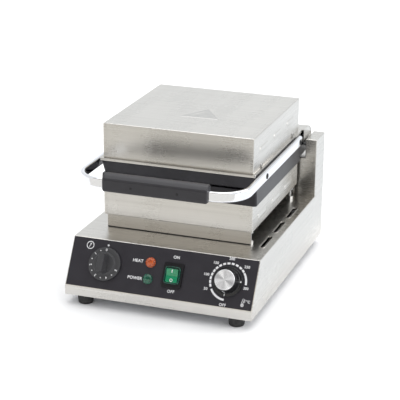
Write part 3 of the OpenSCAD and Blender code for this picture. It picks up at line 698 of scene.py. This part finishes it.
rim_r, dome_r, rim_h, dome_h = 7.6, 6.9, 1.6, 3.3
lens_outline = [(0, 0)] + soften([(rim_r, 0), (rim_r, 1.4), (dome_r, 1.5)], 0.5, closed=False)
lens_outline += [(dome_r * x, rim_h + dome_h * y)
                 for x, y in (on_circle(1, turn) for turn in range(0, 91, 9))]
amber = tinted_lens("amber_lens", (0.28, 0.040, 0.006), (0.62, 0.12, 0.02))
green = tinted_lens("green_lens", (0.002, 0.050, 0.030), (0.004, 0.14, 0.075))
for name, y, tint, slot in (("heat_lamp", heat_y, amber, "amber_lens"),
                            ("power_lamp", power_y, green, "green_lens")):
    at_lamp = on_slope @ Matrix.Translation((lamp_x, y, film_t))
    settle(name, lathe(lens_outline, 48), tint, "base", slot, [name + "_lens"], at_lamp, sharp=60)
pale_housing = moulded_plastic("control_housing", (0.70, 0.68, 0.63), (0.82, 0.80, 0.76), 0.55)
show(pale_housing, "lamp_holders")


# ---- Rocker switch --------------------------------------------------------------------
# A black bezel that snaps into the panel, a tinted frame with a rounded lip, and a rocker
# of clear green plastic marked with a bar and a ring.

def rounded_box(width, length, r):
    """The outline of a rectangle with round corners."""
    w, h = width / 2, length / 2
    return soften(turned_box(-w, w, -h, h), r * 1.3, steps=5)


def stacked(layers):
    """Lofts (width, length, corner, height) layers in turn. A frame goes up outside, over its
    lip and down its window."""
    return loft([[(p.x, p.y, z) for p in rounded_box(width, length, r)]
                 for width, length, r, z in layers])


black = moulded_plastic("black_plastic", (0.006, 0.006, 0.007), (0.012, 0.012, 0.014), 0.36,
                        shine=0.35)
switch_tint = tinted_lens("switch_green", (0.003, 0.045, 0.030), (0.006, 0.10, 0.065))
rocker_tint = tinted_lens("rocker_green", (0.003, 0.19, 0.080), (0.004, 0.27, 0.12))
at_switch = on_slope @ Matrix.Translation((switch_x, switch_y, film_t))
bezel = stacked([(30.5, 37, 3, 0), (30.5, 37, 3, 1.7), (29.7, 36.2, 2.8, 2.3), (28.5, 35, 2.6, 2.4),
                 (23.6, 25.6, 3.8, 2.4), (23.6, 25.6, 3.8, -6)])
settle("switch_bezel", bezel, black, "base", "black_plastic", ["switch_body"], at_switch)
collar = stacked([(24, 26.2, 4, 2.2), (24, 26.2, 4, 4.0), (23.2, 25.6, 3.8, 4.8),
                  (22.4, 25, 3.5, 5), (20.4, 23.8, 2.0, 4.8), (19.0, 23.1, 1.0, 3.6),
                  (18.4, 22.8, 0.5, 3.2), (18.4, 22.8, 0.5, -6)])
settle("switch_collar", collar, switch_tint, "base", "switch_green", ["switch_frame"], at_switch)

tilt = Matrix.Rotation(math.radians(8), 4, "X")
at_rocker = on_slope @ Matrix.Translation((switch_x, switch_y, 0)) @ tilt
side_view = soften([(-10, 1), (-6, -4.5), (6, -4.5), (10, 1), (10, 7), (0, 5.5), (-10, 7)], 0.9)
button = loft([[(x, p.x * k, 0.4 + (p.y - 0.4) * k) for p in side_view]
               for x, k in ((-8.8, 0.93), (-8.4, 0.98), (-7.9, 1), (7.9, 1), (8.4, 0.98),
                            (8.8, 0.93))])
settle("rocker", button, rocker_tint, "rocker", "rocker_green", ["switch_rocker"], at_rocker)
top_slope = math.atan(1.5 / 10)
rocker_marks = []
for side, outline in ((1, turned_box(-0.55, 0.55, -2.2, 2.2)), (-1, arc_band(1.9, 0.8, 0, 356))):
    mark = slab(outline, -0.1, 0.08)
    lean = Matrix.Rotation(side * top_slope, 4, "X")
    mark.transform(Matrix.Translation((0, side * 6.6, 6.56)) @ lean)
    rocker_marks.append(mark)
settle("rocker_marks", joined(rocker_marks), white_ink, "rocker", "rocker_green",
       place=at_rocker)


# ---- Timer knob -----------------------------------------------------------------------
# A moulded dial with minute figures round its skirt and a raised bar to hold it by.
# It is pressed on to the timer's steel spindle.

skirt_z = film_t + 0.8
knob_grey = moulded_plastic("timer_knob_plastic", (0.034, 0.034, 0.037), (0.062, 0.062, 0.066), 0.44,
                            shine=0.4)
ground = plated("ground_steel", (0.50, 0.51, 0.53), (0.68, 0.69, 0.71), 0.22)
at_timer = on_slope @ Matrix.Translation((timer_x, 0, skirt_z))
dial = lathe(soften([(0, 0), (25, 0), (25, 2.4), (23.6, 3.4), (17.4, 3.5), (15.6, 6), (0, 6)], 0.7,
                    closed=False))
grip_layers = [(12.4, 31.0, 4.6, 5), (11.6, 30.4, 4.4, 9), (10.6, 29.4, 4.2, 16),
               (9.8, 28.6, 4.0, 19.6), (8.6, 27.4, 3.6, 20.7), (6.6, 25.4, 3.0, 21)]
settle("timer_dial", joined([dial, stacked(grip_layers)]), knob_grey, "timer", "black_plastic",
       ["timer_knob"], at_timer)
figure_r, figure_turns = 20.9, [90 + 50 * number for number in range(6)]
figures = [lettering(str(number), 3.6, *on_circle(figure_r, turn), turn - 90)
           for number, turn in enumerate(figure_turns)]
figures += [flat_mark(arc_band(0.45, 0.9, 0, 350, 12), on_circle(figure_r, turn + 25))
            for turn in figure_turns[:-1]]
settle("timer_figures", joined(figures), white_ink, "timer", "black_plastic",
       place=at_timer @ Matrix.Translation((0, 0, 3.44 - ink_z)))
show(ground, "timer_spindle", "thermostat_spindle")


# ---- Thermostat knob ------------------------------------------------------------------
# A black moulded knob with a wide skirt, a white pointer, a painted highlight on its skirt and a
# spun aluminium cap.

def spun_disc(name, centre):
    """Aluminium turned on a lathe: fine rings, and soft wedges of painted highlight in its colour,
    where the light catches the rings.
    """
    material, place = start_finish(name)
    local = place.node("Mapping", {0: place, 1: centre}, vector_type="POINT")
    across = local.node("SeparateXYZ", {0: local}, output=0)
    upward = local.node("VectorMath", {0: local, 1: tuple(up_slope)}, output=1,
                        operation="DOT_PRODUCT")
    squared = across * across + upward * upward
    distance = squared.maths("POWER", squared, 0.5)
    turns = distance * 9000.0
    rings = turns.maths("SINE", turns)
    angle = across.maths("ARCTAN2", upward, across)
    fine_highlight_phase, broad_highlight_phase = angle * 6.0 + 0.6, angle * 4.0 - 0.5
    fine_painted_highlights, broad_painted_highlights = fine_highlight_phase.maths("SINE", fine_highlight_phase), broad_highlight_phase.maths("SINE", broad_highlight_phase)
    # Both sets of wedges are painted highlights: the colour is lighter and darker by angle round the
    # cap.
    tone = fine_painted_highlights * 0.22 + broad_painted_highlights * 0.3 + rings * 0.08 + 0.5
    return close_finish(material, place, {
        "Base Color": tone.between((0.50, 0.50, 0.51), (0.98, 0.98, 0.99)),
        "Metallic": 0.55,
        "Roughness": 0.3 - rings * 0.05,
        "Normal": rings.bumps(0.00002),
    })


at_thermo = on_slope @ Matrix.Translation((thermo_x, 0, skirt_z))
glossy_black = moulded_plastic("knob_plastic", (0.004, 0.004, 0.005), (0.009, 0.009, 0.010), 0.26,
                               shine=0.45)
skirt = lathe(soften([(0, 0), (22, 0), (22, 1.6), (21.2, 2.4), (18.6, 2.8), (17.5, 4.5), (16, 17.4),
                      (0, 17.4)], 0.6, closed=False), 96)
settle("thermostat_dial", skirt, glossy_black, "thermostat", "black_plastic",
       ["thermostat_knob"], at_thermo)
cap_z = 17.4
spun = spun_disc("spun_aluminium", tuple(-(at_thermo @ Vector((0, 0, cap_z)))))
cap = lathe(soften([(0, cap_z), (15, cap_z), (15, 18.7), (14.1, 19.4), (0, 19.0)], 0.5,
                   closed=False), 96)
settle("thermostat_cap_disc", cap, spun, "thermostat", "spun_aluminium", ["thermostat_cap"],
       at_thermo)
pointer_turn = Matrix.Rotation(math.radians(off_turn - 90), 4, "Z")
pointer = [slab(turned_box(-0.5, 0.5, 18.4, 21.6), 2.3, 2.95),
           # This short white arc on the skirt's right is a painted highlight, not a mark the knob
           # has.
           slab(arc_band(19.6, 2.2, 186, 192), 2.2, 2.9),
           loft([[(x, y, z) for x, y in turned_box(-0.35, 0.35, front, front + 0.3)]
                 for front, z in ((17.35, 4.6), (15.85, 17.3))])]
settle("thermostat_pointer", joined(pointer), white_ink, "thermostat", "black_plastic",
       place=at_thermo @ pointer_turn)


# ---- Rear column ----------------------------------------------------------------------
# A folded stainless column on the back of the deck, with an ear each side of the hinge.
# A flat cover closes its back with four pan-head screws.

rebuilt("column_shell", "rear_column", *base_steel, fold_r)
show(stainless, "column_back_cover")
back_y = box_mm("column_back_cover")[1].y
ear_top = box_mm("rear_column")[1].z
column_screws = [((x, back_y, z), (-90, 0, 0)) for x in (-139, 139)
                 for z in (deck_z + 10, ear_top - 10.2)]
screw_heads("column_screws", cross_head(3.4, 2.0), column_screws, zinc, "base")


# ---- Hinge ----------------------------------------------------------------------------
# A ground steel shaft held by two zinc-coated brackets inside the ears. The lid's arms
# turn on it in bronze bushes.

bronze = plated("brass_parts", (0.45, 0.30, 0.12), (0.72, 0.52, 0.24), 0.32)
show(zinc_sheet, "hinge_brackets")
show(zinc, "bracket_bolts", "shaft_rings")
show(ground, "hinge_shaft")
show(bronze, "hinge_bushes", "terminal_screws", "earth_stud")


# ---- Risers, studs and nuts -----------------------------------------------------------
# Two folded channels lift the cooker off the deck, and four threaded studs with hexagon
# nuts pull everything together.

show(stainless, "front_riser", "rear_riser")
riser_low, riser_high = box_mm("front_riser")
# A thin black strip along the front riser's foot is painted shadow, for the dark line where the
# riser meets the deck.
riser_foot_shadow_line = [(x, riser_low.y, deck_z + 0.6) for x in (riser_low.x + 0.3, riser_high.x - 0.3)]
settle("riser_seal", sweep(riser_foot_shadow_line, bead(0.7, 0.6), rubber, closed=False), rubber, "base",
       "black_rubber")
show(zinc, "support_studs", "support_nuts", "wire_sleeve")


# ---- Lower housing --------------------------------------------------------------------
# A folded stainless tray round the lower heater, with shallow louvres pressed outwards
# along both sides.

def louvre(length, width, rise):
    """One pressed louvre: a long blister whose lower edge stands open."""
    outline = stadium(length, width, 8)
    levels = [(1.0, 0.0), (0.93, 0.35), (0.8, 0.72), (0.6, 0.93), (0.3, 1.0)]
    rings = []
    for scale, height in levels:
        ring = []
        for x, y in outline:
            lean = 1.0 - 0.25 * (y / width + 0.5)
            reach = math.copysign(abs(x) - (1 - scale) * width / 2, x)
            ring.append((reach if abs(x) > width / 2 else x, y * scale, height * rise * lean))
        rings.append(ring)
    return loft([[(x, y, -0.3) for x, y, z in rings[0]]] + rings)


def side_louvres(z, centres, length, half_width):
    """Places for louvres on both sides: the long way runs from front to back."""
    places = [((half_width, y, z), (90, 0, 90)) for y in centres]
    return places + [((-half_width, y, z), (90, 0, -90)) for y in centres]


housing_low, housing_high = box_mm("lower_housing")
rebuilt("housing_shell", "lower_housing", *base_steel, fold_r, shortest=20)
housing_spots = side_louvres(housing_low.z + 16, (-58, 14, 82), 42, housing_high.x)
settle("housing_louvres", repeat(louvre(43, 9, 1.1), housing_spots, stainless), *base_steel)


# ---- Lower plate ----------------------------------------------------------------------
# Seasoned cast iron with four fields of tapered pegs, and two arms that reach back to the
# hinge shaft. Edges are rounded as they leave the sand mould.

def seasoned_iron(name):
    """Cast iron baked dark with oil: a grainy skin, satin on the high spots."""
    material, place = start_finish(name)
    sand = place.noise(700, 4.0)
    patches = place.noise(40, 3.0)
    return close_finish(material, place, {
        "Base Color": patches.above(0.5, 0.3).between((0.009, 0.008, 0.011), (0.019, 0.018, 0.023)),
        "Roughness": sand * 0.14 + patches * 0.12 + 0.19,
        "Specular IOR Level": 0.32,
        "Normal": sand.bumps(0.00012),
    })


def taper_pegs(shape, top_z, draw):
    """Draws the top corners of each peg in towards its middle."""
    tops = [f for f in shape.faces if abs(f.normal.z) > 0.99 and len(f.verts) == 4
            and all(abs(v.co.z - top_z) < 0.05 for v in f.verts) and f.calc_area() < 300]
    for face in tops:
        middle = face.calc_center_median()
        for vert in face.verts:
            vert.co.xy = middle.xy + (vert.co.xy - middle.xy) * draw
    return shape


iron = seasoned_iron("cast_iron")
recess, peg = 9.0, 6.0
lower_face = box_mm("lower_plate")[1].z
lower_cast = taper_pegs(from_cad("lower_plate"), lower_face - recess + peg, 0.8)
settle("lower_casting", round_folds(lower_cast, 0.9, shortest=5, steps=2), iron, "base",
       "cast_iron", ["lower_plate"], new=False)
rebuilt("lower_arms", "lower_hinge_arms", iron, "base", "cast_iron", 1.2, shortest=8)


# ---- Heaters and what lies round them -------------------------------------------------
# Tubular heaters pressed to the plates by clamp plates and hexagon screws, with boards of
# ceramic fibre behind them. The upper set is the same and rides on the lid.

def fibre_board(name):
    """Ceramic-fibre board: off-white, matt and matted."""
    material, place = start_finish(name)
    fibres = place.noise((90, 900, 900), 4.0)
    return close_finish(material, place, {
        "Base Color": fibres.between((0.66, 0.63, 0.56), (0.86, 0.84, 0.79)),
        "Roughness": 0.95,
        "Normal": fibres.bumps(0.0004),
    })


sheath = plated("element_sheath", (0.10, 0.09, 0.085), (0.24, 0.21, 0.19), 0.5)
board = fibre_board("insulation_board")
copper = plated("copper", (0.52, 0.24, 0.14), (0.78, 0.42, 0.28), 0.34)
for side in ("lower", "upper"):
    show(sheath, side + "_element")
    show(zinc_sheet, side + "_clamp_plate")
    show(zinc, side + "_clamp_screws")
    show(board, side + "_insulation")
show(copper, "thermostat_bulb", "thermostat_capillary")
show(pale_housing, "thermostat_body", "timer_body", "terminal_block")


# ---- Cable gland ----------------------------------------------------------------------
# A black nylon gland with a hexagon nut inside the base, where the mains lead comes in.

rebuilt("gland", "cable_gland", black, "base", "black_plastic", 0.5, shortest=2, narrowest=1.2)
show(black, "gland_nut")


# ---- Upper plate ----------------------------------------------------------------------
# The lid's own casting, which leans in towards the parting line. Two arms behind it turn
# on the shaft, and round pads on its sides carry the handle.

upper_face = box_mm("upper_plate")[0].z
upper_cast = taper_pegs(from_cad("upper_plate"), upper_face + recess - peg, 0.8)
settle("upper_casting", round_folds(upper_cast, 0.9, shortest=5, steps=2), iron, "lid",
       "cast_iron", ["upper_plate"], new=False)
rebuilt("upper_arms", "upper_hinge_arms", iron, "lid", "cast_iron", 1.2, shortest=8)


# ---- Lid cover ------------------------------------------------------------------------
# A deep-folded stainless cover over the upper heater, on a flange that is screwed to it
# from both sides. Louvres are pressed in its sides and a plain triangle in its top.

def corner_laps(low, high, wide=4.6):
    """The lapped strips where the front is folded over the sides, one at each corner."""
    laps = []
    for side in (-1, 1):
        near, far = side * (high.x - 0.8), side * (high.x - wide)
        outline = soften([(near, low.z + 0.8), (near, high.z - 1.2), (far, high.z - 1.2),
                          (far, low.z + 0.8)], 1.0)
        rows = [[(p.x, low.y - y, p.y) for p in outline] for y in (-0.6, 0.22)]
        rows.append([(p.x - math.copysign(0.12, p.x), low.y - 0.32, p.y) for p in outline])
        laps.append(loft(rows))
    return joined(laps)


rebuilt("flange", "lid_flange", *lid_steel, 0.8, narrowest=2.5)
rebuilt("lid_shell", "lid_cover", *lid_steel, 1.6, shortest=20, steps=4)
lid_low, lid_high = box_mm("lid_cover")
lid_spots = side_louvres(lid_low.z + 28, (-56, 13.5, 83), 38, lid_high.x)
settle("lid_louvres", repeat(louvre(39, 9, 1.1), lid_spots, stainless), *lid_steel)
settle("lid_corner_laps", corner_laps(lid_low, lid_high), *lid_steel)
settle("housing_corner_laps", corner_laps(housing_low, housing_high), *base_steel)

corners = [Vector((-25, -31)), Vector((38, -29)), Vector((5, 20))]
middle = sum(corners, Vector((0, 0))) / 3
relief_rings = []
for inset, rise in ((1.0, -0.1), (0.98, 0.06), (0.90, 0.38), (0.86, 0.45), (0.60, 0.45),
                    (0.56, 0.38), (0.48, 0.1), (0.46, 0.06)):
    ring = soften([middle + (corner - middle) * inset for corner in corners], 3.0, steps=3)
    relief_rings.append([(p.x, p.y, lid_high.z + rise) for p in ring])
# The triangle's steel is darker and rougher than the lid's: the darker colour is painted shade on
# the relief.
stamped = brushed_sheet("relief_steel_painted_shade", (0.40, 0.395, 0.38), (0.54, 0.535, 0.52), 0.3, 0.5)
settle("lid_relief", loft(relief_rings), stamped, "lid", "brushed_stainless", sharp=60)

screw_z = lid_low.z + 3.5
side_screws = [((side * lid_high.x, y, screw_z), (0, side * 90, 0))
               for side in (1, -1) for y in (-67, 96)]
hood_low, hood_high = box_mm("hinge_hood")
hinge_y = joint("lid_hinge")["pos_m"][1] / MM
side_screws += [((x, hinge_y - 14, hood_high.z), (0, 0, 0)) for x in (-94, 94)]
screw_heads("lid_screws", cross_head(3.2, 1.5), side_screws, zinc, "lid")


# ---- Hinge hood -----------------------------------------------------------------------
# A curved stainless sheet that covers the gap over the hinge and tips back with the lid.

settle("hood", from_cad("hinge_hood"), *lid_steel, ["hinge_hood"], new=False)
roll_y, roll_z, roll_r, cheek_t = hinge_y - 3, hood_high.z - 20, 18.4, 1.3
cheek = [(hood_low.y + 0.6, hood_high.z - 1.6)]
cheek += [(roll_y + y, roll_z + z) for y, z in (on_circle(roll_r, 90 - t) for t in range(0, 91, 9))]
cheek += [(roll_y + roll_r, roll_z - 1), (hood_low.y + 0.6, roll_z - 1)]
outer_x = hood_high.x - 0.3
cheeks = [loft([[(side * x, y, z) for y, z in cheek] for x in (outer_x - cheek_t, outer_x)])
          for side in (-1, 1)]
settle("hood_cheeks", joined(cheeks), *lid_steel)


# ---- Handle ---------------------------------------------------------------------------
# A flat bar with rounded edges, bent into a U and chromed, with a phenolic grip on its
# front. Socket screws fix it to the pads of the upper plate.

def chromed(name):
    """Polished chrome with the faintest orange peel."""
    material, place = start_finish(name)
    peel = place.noise(260)
    return close_finish(material, place, {
        "Base Color": peel.between((0.78, 0.79, 0.82), (0.86, 0.87, 0.90)),
        "Metallic": 1.0,
        "Roughness": peel * 0.06 + 0.05,
        "Normal": peel.bumps(0.00004),
    })


def hex_head(r, h, socket):
    """A flat round head with a hexagon socket."""
    turns = range(0, 360, 15)
    outer = [on_circle(r, turn) for turn in turns]
    inner = [on_circle(socket / math.cos(math.radians(turn % 60 - 30)), turn) for turn in turns]
    levels = [(outer, 1.0, 0), (outer, 1.0, 0.7 * h), (outer, 0.93, h), (inner, 1.0, h),
              (inner, 0.96, h - 0.6)]
    return loft([[(x * k, y * k, z) for x, y in ring] for ring, k, z in levels])


chrome = chromed("chrome_bar")
bar_low, bar_high = box_mm("handle_bar")
bar_t, bend_r = 6.5, 45.0
half, front, back = bar_high.x - bar_t / 2, bar_low.y + bar_t / 2, bar_high.y
bend = bend_r - bar_t / 2
bends = [(half - bend + x, front + bend + y)
         for x, y in (on_circle(bend, -turn) for turn in range(0, 91, 5))]
right_arm = [(half, back - step) for step in (0, 3, 6, 9.2)] + bends
middle_z = (bar_low.z + bar_high.z) / 2
u_path = [(x, y, middle_z) for x, y in right_arm]
u_path += [(-x, y, z) for x, y, z in reversed(u_path)]
bar_profile = rounded_box(bar_t, bar_high.z - bar_low.z, 2.2)
u_bar = sweep(u_path, bar_profile, chrome, closed=False)
for vert in u_bar.verts:
    low_cut = bar_low.z + 9 - (back - vert.co.y)
    if vert.co.y > back - 9 and vert.co.z < low_cut:
        vert.co.z = low_cut
settle("handle_u_bar", u_bar, chrome, "lid", "chrome_bar", ["handle_bar"], sharp=50)

screw_level = sum(corner.z for corner in box_mm("handle_screws")) / 2
arm_screws = [((side * (bar_high.x - 0.1), y, screw_level), (0, side * 90, 0))
              for side in (1, -1) for y in (-78, 99)]
# These screws are coloured near black as painted shade, for the shadow in their deep recesses.
screw_finish_painted_shade = moulded_plastic("screws_dark_as_painted_shade", (0.008, 0.008, 0.009), (0.016, 0.016, 0.017), 0.5,
                             shine=0.3)
screw_heads("handle_screws", hex_head(4.3, 0.8, 2.3), arm_screws, screw_finish_painted_shade, "lid")

phenolic = moulded_plastic("grip_plastic", (0.020, 0.019, 0.023), (0.032, 0.031, 0.036), 0.42, 500.0,
                           shine=0.35)
grip_low, grip_high = box_mm("handle_grip")
grip_y, grip_z = (grip_low.y + grip_high.y) / 2, (grip_low.z + grip_high.z) / 2
w, h = grip_high.y - grip_y, grip_high.z - grip_z
section = soften([(w, -h), (w, h), (-w * 0.2, h), (-w + 0.6, h * 0.62), (-w + 1.1, h * 0.5),
                  (-w, h * 0.38), (-w, -h)], 4.6, steps=5)
ends = [(0, 0.86), (0.5, 0.93), (1.6, 0.98), (3.2, 1.0)]
stations = [(grip_low.x + x, k) for x, k in ends] + [(grip_high.x - x, k) for x, k in ends[::-1]]
grip_shape = loft([[(x, grip_y + p.x * k, grip_z + p.y * k) for p in section] for x, k in stations])
settle("grip", grip_shape, phenolic, "lid", "grip_plastic", ["handle_grip"], sharp=60)
grip_screws = [((x, grip_low.y + 0.35, screw_level), (90, 0, 0)) for x in (-35, 35)]
# The grip screws take the same near-black painted shade.
screw_heads("grip_screws", cross_head(1.9, 0.6), grip_screws, screw_finish_painted_shade, "lid")


# ---- Studio ---------------------------------------------------------------------------
# A pale floor under soft light: a broad box overhead and one on the right, with boards for
# the bright metal to mirror. The camera looks down at the front right with a long lens.

def card(name, low, high, sockets, kind="BsdfPrincipled"):
    """A flat sheet between two corners. It isn't part of the waffle maker."""
    (left, front, bottom), (right, back, top) = low, high
    mesh = bpy.data.meshes.new(name)
    mesh.from_pydata([(left, front, bottom), (right, front, bottom), (right, back, top),
                      (left, back, top)], [], [(0, 1, 2, 3)])
    mesh.materials.append(close_finish(*start_finish(name), sockets, kind))
    sheet = stand(name, mesh)
    return sheet


card("floor", (-9, -9, 0), (9, 9, 0), {"Base Color": (0.90, 0.90, 0.905, 1), "Roughness": 0.9})

world = bpy.data.worlds.new("studio")
world.use_nodes = True
backdrop = world.node_tree.nodes["Background"]
backdrop.inputs["Color"].default_value = (0.985, 0.992, 1.0, 1)
backdrop.inputs["Strength"].default_value = 0.92
bpy.context.scene.world = world


def softbox(name, place, target, size, power, colour=(1, 1, 1)):
    """A square area light aimed at a point."""
    lamp = bpy.data.lights.new(name, "AREA")
    lamp.shape, lamp.size, lamp.energy, lamp.color = "SQUARE", size, power, colour
    light = stand(name, lamp)
    light.location = place
    light.rotation_euler = (Vector(target) - Vector(place)).to_track_quat("-Z", "Y").to_euler()


def reflector(name, low, high, colour, strength):
    """A card that only shows in the metal, as a studio's boards and flags do."""
    board = card(name, low, high, {"Color": (*colour, 1), "Strength": strength}, "Emission")
    board.visible_camera = board.visible_diffuse = board.visible_shadow = False
    board.visible_transmission = board.visible_volume_scatter = False


softbox("overhead", (0.15, 0.45, 1.9), (0, 0, 0.1), 2.2, 30)
softbox("right_side", (1.9, 0.5, 0.9), (0, 0, 0.12), 1.0, 14)
reflector("warm_front_board", (-2, -2.4, 0.002), (1.4, -0.42, 0.002), (0.93, 0.91, 0.86), 1.0)
reflector("low_front_board", (-3.4, -2.6, 0.25), (2.6, -2.6, 1.34), (1.0, 0.95, 0.86), 1.15)
reflector("dark_flag", (-3.4, -2.6, 1.35), (2.6, -2.6, 4.2), (0.30, 0.29, 0.30), 0.8)
reflector("cool_back_board", (-2.6, 2.5, 0.1), (2.0, 2.5, 1.9), (0.955, 0.98, 1.0), 1.04)
reflector("right_board", (0.17, -0.25, 0.002), (2.2, 2.4, 0.002), (0.93, 0.965, 1.0), 1.27)

yaw, pitch, roll = (math.radians(angle) for angle in (19.36, 19.57, 0.43))
aim = (Matrix.Rotation(yaw, 4, "Z") @ Matrix.Rotation(math.pi / 2 - pitch, 4, "X")
       @ Matrix.Rotation(roll, 4, "Z"))
camera = stand("camera", bpy.data.cameras.new("camera"))
camera.data.lens, camera.data.sensor_width = 132.19, 36.0
camera.matrix_world = Matrix.Translation((0.7081, -2.0175, 0.8772)) @ aim
bpy.context.scene.camera = camera
bpy.context.scene.view_settings.view_transform = "Standard"
